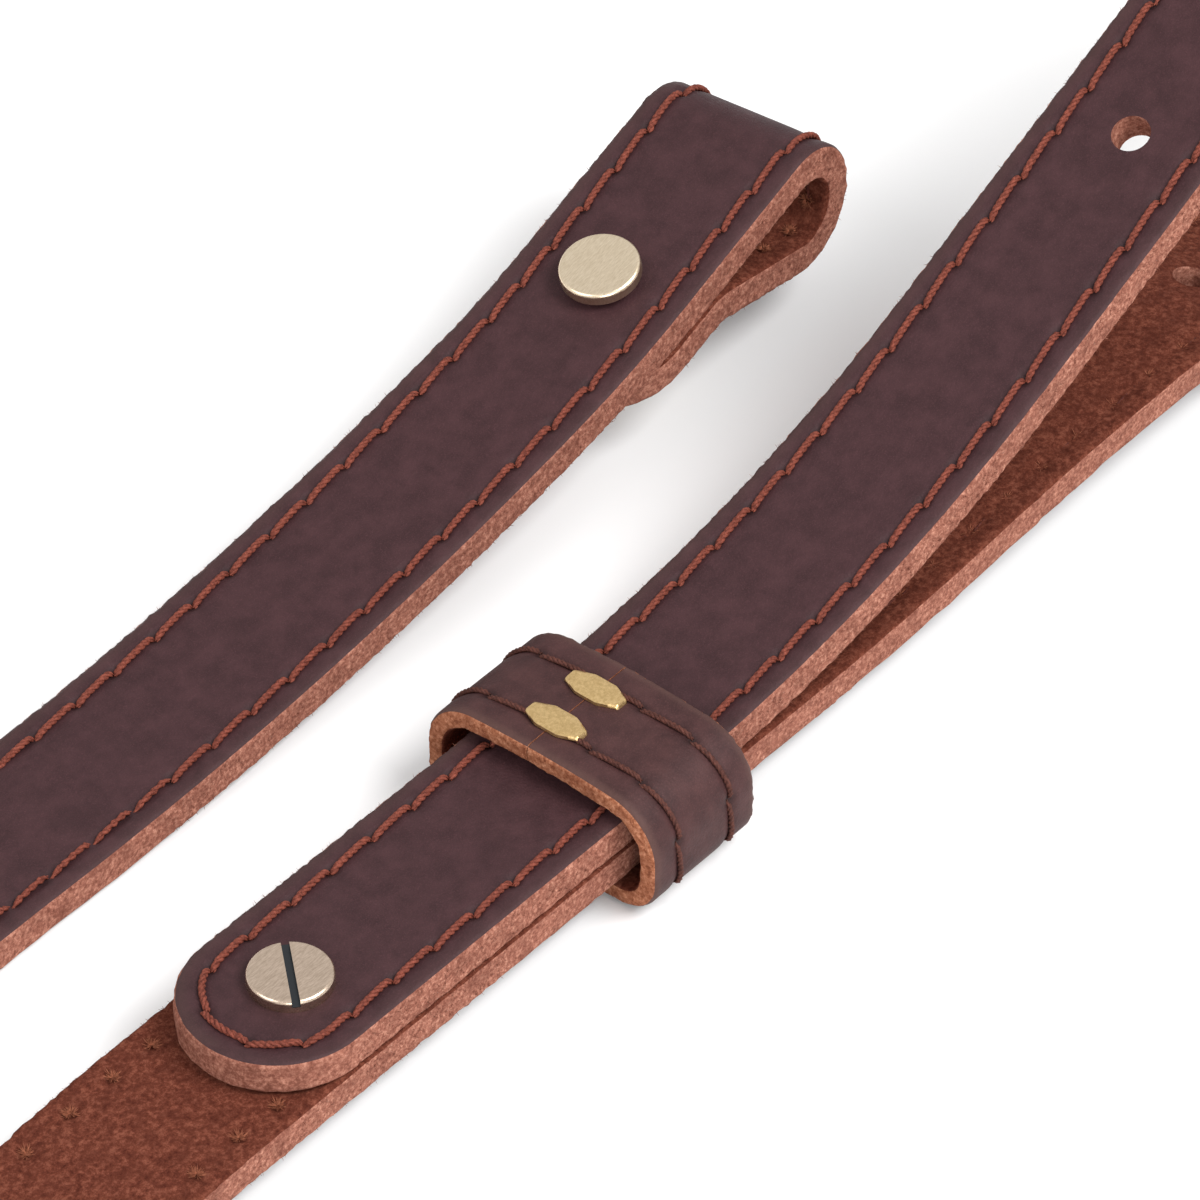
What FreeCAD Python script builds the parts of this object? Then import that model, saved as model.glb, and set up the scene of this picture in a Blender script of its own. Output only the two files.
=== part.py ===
import FreeCAD, Part
import math
import os

from FreeCAD import Vector

# A leather instrument strap lying on a table.  One strip of leather is folded back on itself at both
# ends.  The tail comes back over the strip, goes through a sliding keeper and is held by a slotted
# screw and post through one of a row of adjuster holes.  The other end makes a small fixed eye,
# clamped by a second screw and post.  Lengths are in millimetres, angles in degrees.

# ---- driving dimensions ----
strap_width = 22.0
leather = 4.2                     # thickness of the strip
layer_gap = 0.3                   # between two layers that lie on each other
tip_radius = strap_width / 2
tip_to_screw = 13.0               # rounded tip to the screw's axis, at both ends

run_lift = 2.7                    # the doubled run stands on the keeper's lower side
flat_run = 50.0                   # tail screw to where the upper layer starts to rise
rise_radius, rise_angle = 165.0, 24.0
fold_radius = 25.0                # middle of the leather in the far loop and in the turn-back
hump_start, hump_height, hump_radius = 75.0, 3.0, 350.0
settle_radius = 65.0              # far end of the hump, down to the table
step_radius = 150.0               # where the lower layer steps down to the table behind the tail
step_start = -15.0

turn_x = -280.0                   # where the strip turns back
turn_slant, turn_droop = 6.0, 20.0
long_leg_yaw = 6.0                # gentle curves in plan
landing_radius = 150.0
return_flat, return_flat_yaw = 41.0, -1.9
return_run, return_run_yaw = 73.2, -4.4
climb_radius, climb_angle = 370.0, 13.2
eye_run, eye_run_yaw = 42.0, 5.3

eye_radius, eye_pinch = 6.2, 26.0
eye_close_radius = 7.0
eye_screw_back = 24.2             # eye's screw to the start of the eye's bend

hole_radius = 2.3
hole_pitch = 39.0
spare_holes = 8

groove_width, groove_depth = 1.0, 0.45
thread_width = 0.9
stitch_inset = 3.0                # edge of the leather to the middle of a stitch row

head_radius, head_thick, head_round = 4.75, 1.5, 0.5
barrel_radius, bore_radius, shank_radius = 2.2, 1.6, 1.55
slot_width, slot_depth = 0.9, 0.7
tail_slot_turn = 49.0             # the slot's turn from the strap's length
shank_stop = 1.9                  # outer face of the layers on the post's side to the shank's end
barrel_stop = 0.5                 # outer face of the layers on the screw's side to the barrel's end
bore_cover = 0.9                  # underside of the post's head to the end of its bore
eye_head_lift = 1.0               # the eye's post is a little longer than its two layers

keeper_front, keeper_length, keeper_leather = 40.3, 17.0, 2.4
keeper_half_width = 13.8          # inside
keeper_floor_gap, keeper_crown_gap = 0.3, 1.5
keeper_corner, keeper_floor_corner = 4.5, 2.8
keeper_crown = 0.35               # rise of the top's middle over its shoulders
keeper_row_inset = 4.2
seam_y, seam_width = 1.8, 0.15
staple_length, staple_width, staple_thick = 8.0, 3.8, 0.5
staple_leg = 0.8
staple_leg_root, staple_leg_end = 0.2, 0.1    # into the crown, and out below the leather
staple_clearance = 0.05
staple_x = (45.2, 51.8)

bend_step = 9.0                   # most that one flat facet of a bend turns
yaw_step = 2.0
fine_step = 0.5                   # between the stations that a place is looked up on
overrun = 1.0                     # by which a cutting shape passes the face that it cuts

lower_mid = run_lift + leather / 2
upper_mid = lower_mid + leather + layer_gap
table_mid = leather / 2


def sin(angle):
    return math.sin(math.radians(angle))


def cos(angle):
    return math.cos(math.radians(angle))


def bend(radius, angle, slant=0.0):
    """A zone of the strip that bends; a positive angle turns it towards its flesh side."""
    return (radius * math.radians(abs(angle)) / cos(slant), angle, slant, 0.0)


def straight(length, yaw=0.0):
    return (length, 0.0, 0.0, yaw)


def s_bend(height, radius, first):
    """Two equal arcs that shift the strip sideways by height; first is the first turn's sign."""
    angle = math.degrees(math.acos(1 - height / (2 * radius)))
    run = 2 * radius * sin(angle)
    return [bend(radius, first * angle), bend(radius, -first * angle)], run


def strip_zones():
    """The whole strip, from the centre of the tail's round tip to the centre of the other tip."""
    start_x = tip_radius - tip_to_screw
    rise = bend(rise_radius, -rise_angle)
    rise_top = upper_mid + rise_radius * (1 - cos(rise_angle))
    fold_top = table_mid + fold_radius * (1 + cos(rise_angle))
    slope = (fold_top - rise_top) / sin(rise_angle)
    fold_x = (flat_run + (rise_radius + fold_radius) * sin(rise_angle) + slope * cos(rise_angle))
    zones = [straight(flat_run - start_x), rise, straight(slope)]
    zones += [bend(fold_radius, 180 + rise_angle)]

    settle, settle_run = s_bend(run_lift + hump_height, settle_radius, 1)
    hump, hump_run = s_bend(hump_height, hump_radius, -1)
    zones += [straight(fold_x - settle_run - hump_run - hump_start)]
    zones += settle + hump
    step, step_run = s_bend(run_lift, step_radius, -1)
    zones += [straight(hump_start - step_start)] + step
    long_leg = step_start - step_run - turn_x
    zones += [straight(long_leg, long_leg_yaw)]

    zones += [bend(fold_radius, 180, turn_slant), bend(fold_radius, turn_droop)]
    fall = fold_radius * (1 + cos(turn_droop)) - landing_radius * (1 - cos(turn_droop))
    zones += [straight(fall / sin(turn_droop)), bend(landing_radius, -turn_droop)]
    zones += [straight(return_flat, return_flat_yaw), straight(return_run, return_run_yaw)]
    zones += [bend(climb_radius, -climb_angle)]
    zones += [straight(eye_run - eye_screw_back, eye_run_yaw), straight(eye_screw_back)]

    eye_drop = eye_radius * (1 + cos(eye_pinch)) - (leather + layer_gap)
    eye_side = (eye_drop - eye_close_radius * (1 - cos(eye_pinch))) / sin(eye_pinch)
    eye_back = eye_radius * sin(eye_pinch) + eye_side * cos(eye_pinch) + eye_close_radius * sin(eye_pinch)
    zones += [bend(eye_radius, 180 + eye_pinch), straight(eye_side)]
    zones += [bend(eye_close_radius, -eye_pinch)]
    zones += [straight(eye_screw_back - eye_back + tip_to_screw - tip_radius)]
    return zones


class Station:
    """A place along the strip: t runs along it, w across it, n out of its grain side."""

    def __init__(self, distance, point, t, w, n, slant):
        self.distance = distance
        self.point = point
        self.t = t
        self.w = w
        self.n = n
        self.slant = slant

    def at(self, across, out):
        """A point on the section, which follows the bend's rulings where the bend is slanted."""
        ruling = self.w * cos(self.slant) + self.t * sin(self.slant)
        return self.point + ruling * (across / cos(self.slant)) + self.n * out


def turned(vector, axis, angle):
    return FreeCAD.Rotation(axis, angle).multVec(vector)


def walk(zones, start):
    """Stations along the zones: exact arcs, with no facet turning more than bend_step."""
    stations = []
    t, w, n = Vector(1, 0, 0), Vector(0, 1, 0), Vector(0, 0, 1)
    point, distance = start, 0.0
    for index, (length, angle, slant, yaw) in enumerate(zones):
        before = zones[index - 1][2] if index else 0.0
        stations.append(Station(distance, point, t, w, n, slant or before))
        count = max(1, math.ceil(abs(angle) / bend_step), math.ceil(abs(yaw) / yaw_step))
        ruling = w * cos(slant) + t * sin(slant)
        for step in range(count):
            half = angle / count / 2
            half_yaw = yaw / count / 2
            if yaw:
                ruling = w
            middle = turned(turned(t, n, half_yaw), ruling, half)
            along = ruling * middle.dot(ruling)
            chord = math.sin(math.radians(half)) / math.radians(half) if half else 1.0
            point = point + (along + (middle - along) * chord) * (length / count)
            distance += length / count
            t = turned(turned(t, n, 2 * half_yaw), ruling, 2 * half)
            w = turned(turned(w, n, 2 * half_yaw), ruling, 2 * half)
            n = turned(n, ruling, 2 * half)
            if step < count - 1:
                stations.append(Station(distance, point, t, w, n, slant))
    stations.append(Station(distance, point, t, w, n, 0.0))
    return stations


def strip_stations():
    """The stations of the whole strip, with the tail screw's axis at x 0, y 0."""
    return walk(strip_zones(), Vector(tip_radius - tip_to_screw, 0, upper_mid))


def station_at(stations, distance):
    """The station at a distance along the strip, taken on the facet that holds it."""
    for a, b in zip(stations, stations[1:]):
        if a.distance <= distance <= b.distance:
            share = (distance - a.distance) / (b.distance - a.distance)
            point = a.point + (b.point - a.point) * share
            t = (b.point - a.point).normalize()
            w = (a.w + (b.w - a.w) * share).normalize()
            return Station(distance, point, t, w, t.cross(w), 0.0)
    raise ValueError("beyond the strip")


def flat_faces(a, b, c, d):
    """One face through four corners, or two where they are not in a plane."""
    normal = (b - a).cross(c - a).normalize()
    corners = [(a, b, c, d)] if abs(normal.dot(d - a)) < 1e-6 else [(a, b, c), (a, c, d)]
    return [Part.Face(Part.makePolygon(points + points[:1])) for points in corners]


def loft(stations, profile):
    """A solid of flat faces through the profile at every station."""
    rings = [[station.at(across, out) for across, out in profile] for station in stations]
    faces = [Part.Face(Part.makePolygon(ring + ring[:1])) for ring in (rings[0], rings[-1])]
    for near, far in zip(rings, rings[1:]):
        for k, corner in enumerate(near):
            faces += flat_faces(corner, near[k - 1], far[k - 1], far[k])
    solid = Part.Solid(Part.makeShell(faces))
    if solid.Volume < 0:
        solid.reverse()
    return solid.removeSplitter()


def placed(shape, station, flip=False):
    """Moves a shape drawn along X, across Y and out along Z to a station."""
    t = station.t * (-1 if flip else 1)
    w = station.w * (-1 if flip else 1)
    n = station.n
    matrix = FreeCAD.Matrix(t.x, w.x, n.x, station.point.x, t.y, w.y, n.y, station.point.y,
                            t.z, w.z, n.z, station.point.z, 0, 0, 0, 1)
    moved = shape.copy()
    moved.Placement = FreeCAD.Placement(matrix).multiply(moved.Placement)
    return moved


def strip_profile():
    """The strip's section, with a groove for each stitch row on both faces."""
    half, deep = strap_width / 2, leather / 2
    row = half - stitch_inset
    side = groove_width / 2
    notch = [(-row - side, deep), (-row - side, deep - groove_depth),
             (-row + side, deep - groove_depth), (-row + side, deep),
             (row - side, deep), (row - side, deep - groove_depth),
             (row + side, deep - groove_depth), (row + side, deep)]
    top = [(-half, deep)] + notch + [(half, deep)]
    bottom = [(across, -out) for across, out in reversed(top)]
    return top + bottom


def thread_profile(side, face):
    """One row of thread: side is -1 or 1 across the strip, face is 1 for grain and -1 for flesh."""
    middle = side * (strap_width / 2 - stitch_inset)
    half = thread_width / 2
    top, bottom = face * leather / 2, face * (leather / 2 - groove_depth)
    return [(middle - half, bottom), (middle + half, bottom), (middle + half, top), (middle - half, top)]


def half_ring(outer, inner, low, high):
    """Half a flat ring about the origin, on the side of negative X."""
    ring = Part.makeCylinder(outer, high - low, Vector(0, 0, low))
    if inner:
        ring = ring.cut(Part.makeCylinder(inner, high - low, Vector(0, 0, low)))
    return ring.common(Part.makeBox(outer, 2 * outer, high - low, Vector(-outer, -outer, low)))


def tip_leather():
    tip = half_ring(tip_radius, 0, -leather / 2, leather / 2)
    row = tip_radius - stitch_inset
    for face in (1, -1):
        low, high = sorted((face * leather / 2, face * (leather / 2 - groove_depth)))
        tip = tip.cut(half_ring(row + groove_width / 2, row - groove_width / 2, low, high))
    return tip


def tip_thread(face):
    row = tip_radius - stitch_inset
    low, high = sorted((face * leather / 2, face * (leather / 2 - groove_depth)))
    return half_ring(row + thread_width / 2, row - thread_width / 2, low, high)


def fused(shapes):
    whole = shapes[0]
    for shape in shapes[1:]:
        whole = whole.fuse(shape)
    return whole.removeSplitter()


def thread_loop(stations, face):
    rows = [loft(stations, thread_profile(side, face)) for side in (-1, 1)]
    ends = [placed(tip_thread(face), stations[0]), placed(tip_thread(face), stations[-1], True)]
    return fused(rows + ends)


def hole_drill(station, reach):
    return placed(Part.makeCylinder(hole_radius, 2 * reach, Vector(0, 0, -reach)), station)


def hole_stations(stations):
    """The adjuster holes, from the one the tail screw uses, back round the far loop."""
    near = min((s for s in fine_stations(stations) if s.n.z < 0), key=lambda s: abs(s.point.x))
    in_use = near.distance + near.point.x
    return [station_at(stations, in_use - hole_pitch * k) for k in range(spare_holes + 1)]


def fine_stations(stations):
    count = int(stations[-1].distance / fine_step)
    return [station_at(stations, k * fine_step) for k in range(count)]


def rounded_disc(radius, low, high, round_low=False):
    disc = Part.makeCylinder(radius, high - low, Vector(0, 0, low))
    edge_z = low if round_low else high
    rim = [edge for edge in disc.Edges if len(edge.Vertexes) == 1
           and abs(edge.BoundBox.ZMin - edge_z) < 1e-6 and abs(edge.BoundBox.ZMax - edge_z) < 1e-6]
    return disc.makeFillet(head_round, rim)


def screw_half(under_head, shank_end):
    """Slotted screw with its head up; under_head and shank_end are heights."""
    head = rounded_disc(head_radius, under_head, under_head + head_thick)
    slot_floor = Vector(-head_radius - overrun, -slot_width / 2, under_head + head_thick - slot_depth)
    slot = Part.makeBox(2 * (head_radius + overrun), slot_width, slot_depth + overrun, slot_floor)
    shank = Part.makeCylinder(shank_radius, under_head - shank_end, Vector(0, 0, shank_end))
    return head.cut(slot).fuse(shank).removeSplitter()


def post_half(under_head, barrel_end, bore_floor):
    """Plain-headed post with its head up and a blind bore from the barrel's lower end."""
    head = rounded_disc(head_radius, under_head, under_head + head_thick)
    barrel = Part.makeCylinder(barrel_radius, under_head - barrel_end, Vector(0, 0, barrel_end))
    bore = Part.makeCylinder(bore_radius, bore_floor - barrel_end, Vector(0, 0, barrel_end))
    return head.fuse(barrel).cut(bore).removeSplitter()


def upside_down(shape):
    turned_over = shape.copy()
    turned_over.rotate(Vector(0, 0, 0), Vector(1, 0, 0), 180)
    return turned_over


def tail_fastener():
    """Slotted screw above, post below; heights are from the middle of the two layers."""
    half_stack = leather + layer_gap / 2
    middle_z = (lower_mid + upper_mid) / 2
    screw = screw_half(half_stack, shank_stop - half_stack)
    screw.rotate(Vector(0, 0, 0), Vector(0, 0, 1), tail_slot_turn)
    post = upside_down(post_half(half_stack, barrel_stop - half_stack, half_stack - bore_cover))
    for shape in (screw, post):
        shape.translate(Vector(0, 0, middle_z))
    return screw, post


def eye_fastener(stations):
    """Post above, slotted screw below, square to the sloping layers of the eye."""
    half_stack = leather + layer_gap / 2
    under_post = half_stack + eye_head_lift
    post = post_half(under_post, barrel_stop - half_stack, under_post - bore_cover)
    screw = upside_down(screw_half(half_stack, shank_stop - half_stack))
    at = eye_screw_station(stations)
    return placed(post, at), placed(screw, at)


def eye_screw_station(stations):
    """The eye's screw axis: a station moved to the middle of the two layers."""
    last = stations[-1]
    at = station_at(stations, last.distance - (tip_to_screw - tip_radius))
    middle = at.point + at.n * (-(leather + layer_gap) / 2)
    return Station(at.distance, middle, at.t * -1, at.w, at.n * -1, 0.0)


def keeper_outline(grow):
    """The keeper's inner outline, grown outwards: flat floor, round sides and a crowned top."""
    floor_z = run_lift - keeper_floor_gap - grow
    top_z = upper_mid + leather / 2 + keeper_crown_gap + grow
    side_y = keeper_half_width + grow
    low, high = keeper_floor_corner + grow, keeper_corner + grow
    low_y = keeper_half_width - keeper_floor_corner
    high_y = keeper_half_width - keeper_corner
    shoulder_z = top_z - keeper_crown
    low_cut, high_cut = low * (1 - cos(45)), high * (1 - cos(45))
    x = keeper_front

    def point(y, z):
        return Vector(x, y, z)

    edges = [Part.LineSegment(point(-low_y, floor_z), point(low_y, floor_z)),
             Part.Arc(point(low_y, floor_z), point(side_y - low_cut, floor_z + low_cut),
                      point(side_y, floor_z + low)),
             Part.LineSegment(point(side_y, floor_z + low), point(side_y, shoulder_z - high)),
             Part.Arc(point(side_y, shoulder_z - high), point(side_y - high_cut, shoulder_z - high_cut),
                      point(high_y, shoulder_z)),
             Part.Arc(point(high_y, shoulder_z), point(0, top_z), point(-high_y, shoulder_z)),
             Part.Arc(point(-high_y, shoulder_z), point(-side_y + high_cut, shoulder_z - high_cut),
                      point(-side_y, shoulder_z - high)),
             Part.LineSegment(point(-side_y, shoulder_z - high), point(-side_y, floor_z + low)),
             Part.Arc(point(-side_y, floor_z + low), point(-side_y + low_cut, floor_z + low_cut),
                      point(-low_y, floor_z))]
    return Part.Wire([edge.toShape() for edge in edges])


def keeper_ring(outer, inner, start, length):
    """A ring between two growths of the keeper's outline, cut through at the seam."""
    solids = [Part.Face(keeper_outline(grow)).extrude(Vector(length, 0, 0)) for grow in (outer, inner)]
    ring = solids[0].cut(solids[1])
    ring.translate(Vector(start - keeper_front, 0, 0))
    slit = Part.makeBox(length, seam_width, 3 * keeper_leather,
                        Vector(start, seam_y - seam_width / 2, upper_mid + leather / 2))
    return ring.cut(slit)


def keeper_row(outside, front_row, width):
    """One row of keeper thread, or with a larger width the groove it lies in."""
    if front_row:
        middle = keeper_front + keeper_row_inset
    else:
        middle = keeper_front + keeper_length - keeper_row_inset
    outer = keeper_leather if outside else groove_depth
    return keeper_ring(outer, outer - groove_depth, middle - width / 2, width)


def staple(x, clearance):
    """A flat six-sided crown across the seam with a leg through the leather at each end."""
    half, wide = staple_length / 2 + clearance, staple_width / 2 + clearance
    seat = upper_mid + leather / 2 + keeper_crown_gap + keeper_leather
    outline = [(-half, -wide / 3), (-half, wide / 3), (-half / 3, wide), (half / 3, wide),
               (half, wide / 3), (half, -wide / 3), (half / 3, -wide), (-half / 3, -wide)]
    points = [Vector(x + across, seam_y + along, seat) for along, across in outline]
    crown = Part.Face(Part.makePolygon(points + points[:1])).extrude(Vector(0, 0, staple_thick))
    leg_half = staple_leg / 2 + clearance
    leg_length = staple_leg_end + keeper_leather + staple_leg_root
    for end in (-1, 1):
        middle = seam_y + end * (staple_length / 2 - staple_leg)
        foot = Vector(x - leg_half, middle - leg_half, seat - keeper_leather - staple_leg_end)
        crown = crown.fuse(Part.makeBox(2 * leg_half, 2 * leg_half, leg_length, foot))
    return crown.removeSplitter()


def strip_nodes(stations):
    """The strip with its holes, and its two threads."""
    strip = fused([loft(stations, strip_profile()), placed(tip_leather(), stations[0]),
                   placed(tip_leather(), stations[-1], True)])
    holes = hole_stations(stations)
    holes.append(station_at(stations, tip_to_screw - tip_radius))
    for hole in holes:
        strip = strip.cut(hole_drill(hole, leather))
    strip = strip.cut(hole_drill(eye_screw_station(stations), 2 * leather))
    return {"strap_leather": strip,
            "strap_needle_thread": thread_loop(stations, 1),
            "strap_bobbin_thread": thread_loop(stations, -1)}


def keeper_nodes():
    """The keeper's band, the two threads of each of its two stitch rows, and its staples."""
    nodes = {}
    band = keeper_ring(keeper_leather, 0, keeper_front, keeper_length)
    for front_row, name in ((True, "front"), (False, "rear")):
        for outside, kind in ((True, "needle"), (False, "bobbin")):
            band = band.cut(keeper_row(outside, front_row, groove_width))
            nodes[f"keeper_{name}_{kind}_thread"] = keeper_row(outside, front_row, thread_width)
    nodes["keeper_band"] = band
    for x in staple_x:
        room = staple(x, staple_clearance)
        nodes = {name: shape.cut(room) for name, shape in nodes.items()}
    for number, x in enumerate(staple_x, 1):
        nodes[f"keeper_staple_{number}"] = staple(x, 0)
    return nodes


def all_nodes(stations):
    nodes = strip_nodes(stations)
    nodes["tail_screw"], nodes["tail_post"] = tail_fastener()
    nodes["eye_post"], nodes["eye_screw"] = eye_fastener(stations)
    nodes.update(keeper_nodes())
    return nodes


def move_to_origin(nodes):
    """Puts the middle of the whole strap over the origin; the table stays at height 0."""
    box = FreeCAD.BoundBox()
    for shape in nodes.values():
        box.add(shape.BoundBox)
    shift = Vector(-(box.XMin + box.XMax) / 2, -(box.YMin + box.YMax) / 2, 0)
    for shape in nodes.values():
        shape.translate(shift)
    return shift


def main():
    os.makedirs("parts", exist_ok=True)
    nodes = all_nodes(strip_stations())
    move_to_origin(nodes)
    for name, shape in nodes.items():
        shape.exportStep(f"parts/{name}.step")
        box = shape.BoundBox
        print(f"{name}: valid {shape.isValid()}, {len(shape.Solids)} solid, {shape.Volume:.1f} mm3, "
              f"x {box.XMin:.1f} to {box.XMax:.1f}, y {box.YMin:.1f} to {box.YMax:.1f}, "
              f"z {box.ZMin:.2f} to {box.ZMax:.2f}")


main()
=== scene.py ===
import math
import random

import bmesh
import bpy
import numpy as np
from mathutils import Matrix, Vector, kdtree, noise


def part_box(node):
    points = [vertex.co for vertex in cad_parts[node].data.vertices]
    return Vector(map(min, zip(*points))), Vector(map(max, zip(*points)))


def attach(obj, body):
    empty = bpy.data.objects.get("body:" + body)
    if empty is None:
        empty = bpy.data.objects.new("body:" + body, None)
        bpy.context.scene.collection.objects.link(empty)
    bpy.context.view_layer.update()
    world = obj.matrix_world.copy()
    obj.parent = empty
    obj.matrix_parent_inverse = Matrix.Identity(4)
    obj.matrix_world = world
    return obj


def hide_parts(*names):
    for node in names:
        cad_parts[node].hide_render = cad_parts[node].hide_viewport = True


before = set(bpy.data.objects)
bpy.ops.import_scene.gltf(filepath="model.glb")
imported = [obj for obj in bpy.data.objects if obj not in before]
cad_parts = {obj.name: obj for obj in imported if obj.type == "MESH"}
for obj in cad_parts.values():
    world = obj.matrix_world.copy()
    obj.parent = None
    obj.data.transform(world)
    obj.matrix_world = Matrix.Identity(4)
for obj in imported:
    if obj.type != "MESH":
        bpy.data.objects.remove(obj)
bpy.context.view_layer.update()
random.seed(5)

MM = 0.001

# ---- the strip, in millimetres, with the tail screw's axis at x 0, y 0 and the table at z 0 ----
strap_width, leather, layer_gap = 22.0, 4.2, 0.3
half_width, half_leather = strap_width / 2, leather / 2
tip_to_screw = 13.0
run_lift = 2.7
flat_run = 50.0
rise_radius, rise_angle = 165.0, 24.0
fold_radius = 25.0
hump_start, hump_height, hump_radius = 75.0, 3.0, 350.0
settle_radius, step_radius, step_start = 65.0, 150.0, -15.0
turn_x, turn_slant, turn_droop = -280.0, 6.0, 20.0
long_leg_yaw = 6.0
landing_radius = 150.0
return_flat, return_flat_yaw = 41.0, -1.9
return_run, return_run_yaw = 73.2, -4.4
climb_radius, climb_angle = 370.0, 13.2
eye_run, eye_run_yaw = 42.0, 5.3
eye_radius, eye_pinch, eye_close_radius = 6.2, 26.0, 7.0
eye_screw_back = 24.2
lower_mid = run_lift + half_leather
upper_mid = lower_mid + leather + layer_gap

hole_radius, hole_pitch, spare_holes = 2.3, 39.0, 8
stitch_inset, stitch_pitch, first_stitch = 3.0, 6.445, 2.6
grain_round, flesh_round = 0.7, 0.45

keeper_front, keeper_length, keeper_leather = 40.3, 17.0, 2.4
keeper_half_width = 13.8
keeper_floor_gap, keeper_crown_gap, keeper_crown = 0.3, 1.5, 0.35
keeper_corner, keeper_floor_corner = 4.5, 2.8
keeper_row_inset = 4.2
seam_y, seam_width = 1.8, 0.15
staple_length, staple_width, staple_thick = 8.0, 3.8, 0.5
staple_x = (45.2, 51.8)
screw_top, slot_width, slot_depth, tail_slot_turn = 12.9, 0.9, 0.7, 49.0

# Where the mesh is fine: the tail, the lower layer behind it, and the eye. Each is its ends and its step.
fine_zones = ((0.0, 172.0, 0.6), (440.0, 520.0, 0.7), (1125.0, 1290.0, 0.6))
coarse_step = 2.6
path_step = 0.4
in_use_search = (400.0, 520.0)

# A hole stands in a square block of the mesh, block_reach hole radii from its middle to its sides.
block_reach, block_steps = 1.5, 4
block_marks = round(block_reach * block_steps)

# How the thread marks the leather, how far the painted shade round its holes reaches, and how the leather
# wears; the bend's crest is painted paler, partly for pull-up and partly as painted sheen.
groove_spread, grain_groove, flesh_groove = 0.75, 0.22, 0.12
dimple_spread, dimple_depth = 0.75, 0.45
rim_distance, rim_spread, rim_height = 1.5, 0.5, 0.08
hole_shade_spread = 0.7
left_margin_wear, right_margin_wear = 0.30, 0.12
crest_past_screw, crest_half_length, crest_pullup_and_sheen = 14.0, 5.0, 0.28

# The needle thread's height over the leather, its depth in a hole, its slant, and how far stitches overlap.
needle_lift, needle_sink, needle_slant, needle_overlap = 0.13, 0.60, 0.27, 0.12
press_under = 0.42        # how much deeper the thread lies where the stitched side faces down


def origin():
    low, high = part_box("tail_screw")
    return np.array(((low[0] + high[0]) / 2, (low[1] + high[1]) / 2, 0.0))


ORIGIN = origin()


def sin(angle):
    return math.sin(math.radians(angle))


def cos(angle):
    return math.cos(math.radians(angle))


def smooth(edge0, edge1, value):
    """0 below edge0, 1 above edge1 and a smooth step between."""
    share = np.clip((value - edge0) / (edge1 - edge0), 0, 1)
    return share * share * (3 - 2 * share)


# ---- the strip's route ----

def bend(radius, angle, slant=0.0):
    """A zone of the strip that bends; a positive angle turns it towards its flesh side."""
    return radius * math.radians(abs(angle)) / cos(slant), angle, slant, 0.0


def straight(length, yaw=0.0):
    return length, 0.0, 0.0, yaw


def s_bend(height, radius, first):
    """Two equal arcs that shift the strip by height, and the length that they take."""
    angle = math.degrees(math.acos(1 - height / (2 * radius)))
    return [bend(radius, first * angle), bend(radius, -first * angle)], 2 * radius * sin(angle)


def strip_zones():
    """The whole strip, from the centre of the tail's round tip to the centre of the other tip."""
    rise_top = upper_mid + rise_radius * (1 - cos(rise_angle))
    fold_top = half_leather + fold_radius * (1 + cos(rise_angle))
    slope = (fold_top - rise_top) / sin(rise_angle)
    fold_x = flat_run + (rise_radius + fold_radius) * sin(rise_angle) + slope * cos(rise_angle)
    zones = [straight(flat_run + tip_to_screw - half_width), bend(rise_radius, -rise_angle)]
    zones += [straight(slope), bend(fold_radius, 180 + rise_angle)]
    settle, settle_run = s_bend(run_lift + hump_height, settle_radius, 1)
    hump, hump_run = s_bend(hump_height, hump_radius, -1)
    step, step_run = s_bend(run_lift, step_radius, -1)
    zones += [straight(fold_x - settle_run - hump_run - hump_start)] + settle + hump
    zones += [straight(hump_start - step_start)] + step
    zones += [straight(step_start - step_run - turn_x, long_leg_yaw)]
    zones += [bend(fold_radius, 180, turn_slant), bend(fold_radius, turn_droop)]
    fall = fold_radius * (1 + cos(turn_droop)) - landing_radius * (1 - cos(turn_droop))
    zones += [straight(fall / sin(turn_droop)), bend(landing_radius, -turn_droop)]
    zones += [straight(return_flat, return_flat_yaw), straight(return_run, return_run_yaw)]
    zones += [bend(climb_radius, -climb_angle)]
    zones += [straight(eye_run - eye_screw_back, eye_run_yaw), straight(eye_screw_back)]
    eye_drop = eye_radius * (1 + cos(eye_pinch)) - (leather + layer_gap)
    eye_side = (eye_drop - eye_close_radius * (1 - cos(eye_pinch))) / sin(eye_pinch)
    eye_back = (eye_radius + eye_close_radius) * sin(eye_pinch) + eye_side * cos(eye_pinch)
    zones += [bend(eye_radius, 180 + eye_pinch), straight(eye_side)]
    zones += [bend(eye_close_radius, -eye_pinch)]
    zones += [straight(eye_screw_back - eye_back + tip_to_screw - half_width)]
    return zones


def spun(vector, axis, angle):
    """A vector turned about a unit axis by an angle in degrees."""
    along = axis * vector.dot(axis)
    return along + (vector - along) * cos(angle) + np.cross(axis, vector) * sin(angle)


class Path:
    """A line of frames: t runs along it, w across it and n out of the grain side."""

    def __init__(self, distances, points, t, w, n):
        self.distances = np.asarray(distances)
        self.columns = np.hstack((points, t, w, n))
        self.length = float(self.distances[-1])

    def at(self, distance):
        distance = np.asarray(distance, float)
        inside = np.clip(distance, 0, self.length)
        columns = [np.interp(inside, self.distances, column) for column in self.columns.T]
        return np.split(np.stack(columns, -1), 4, -1)


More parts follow.
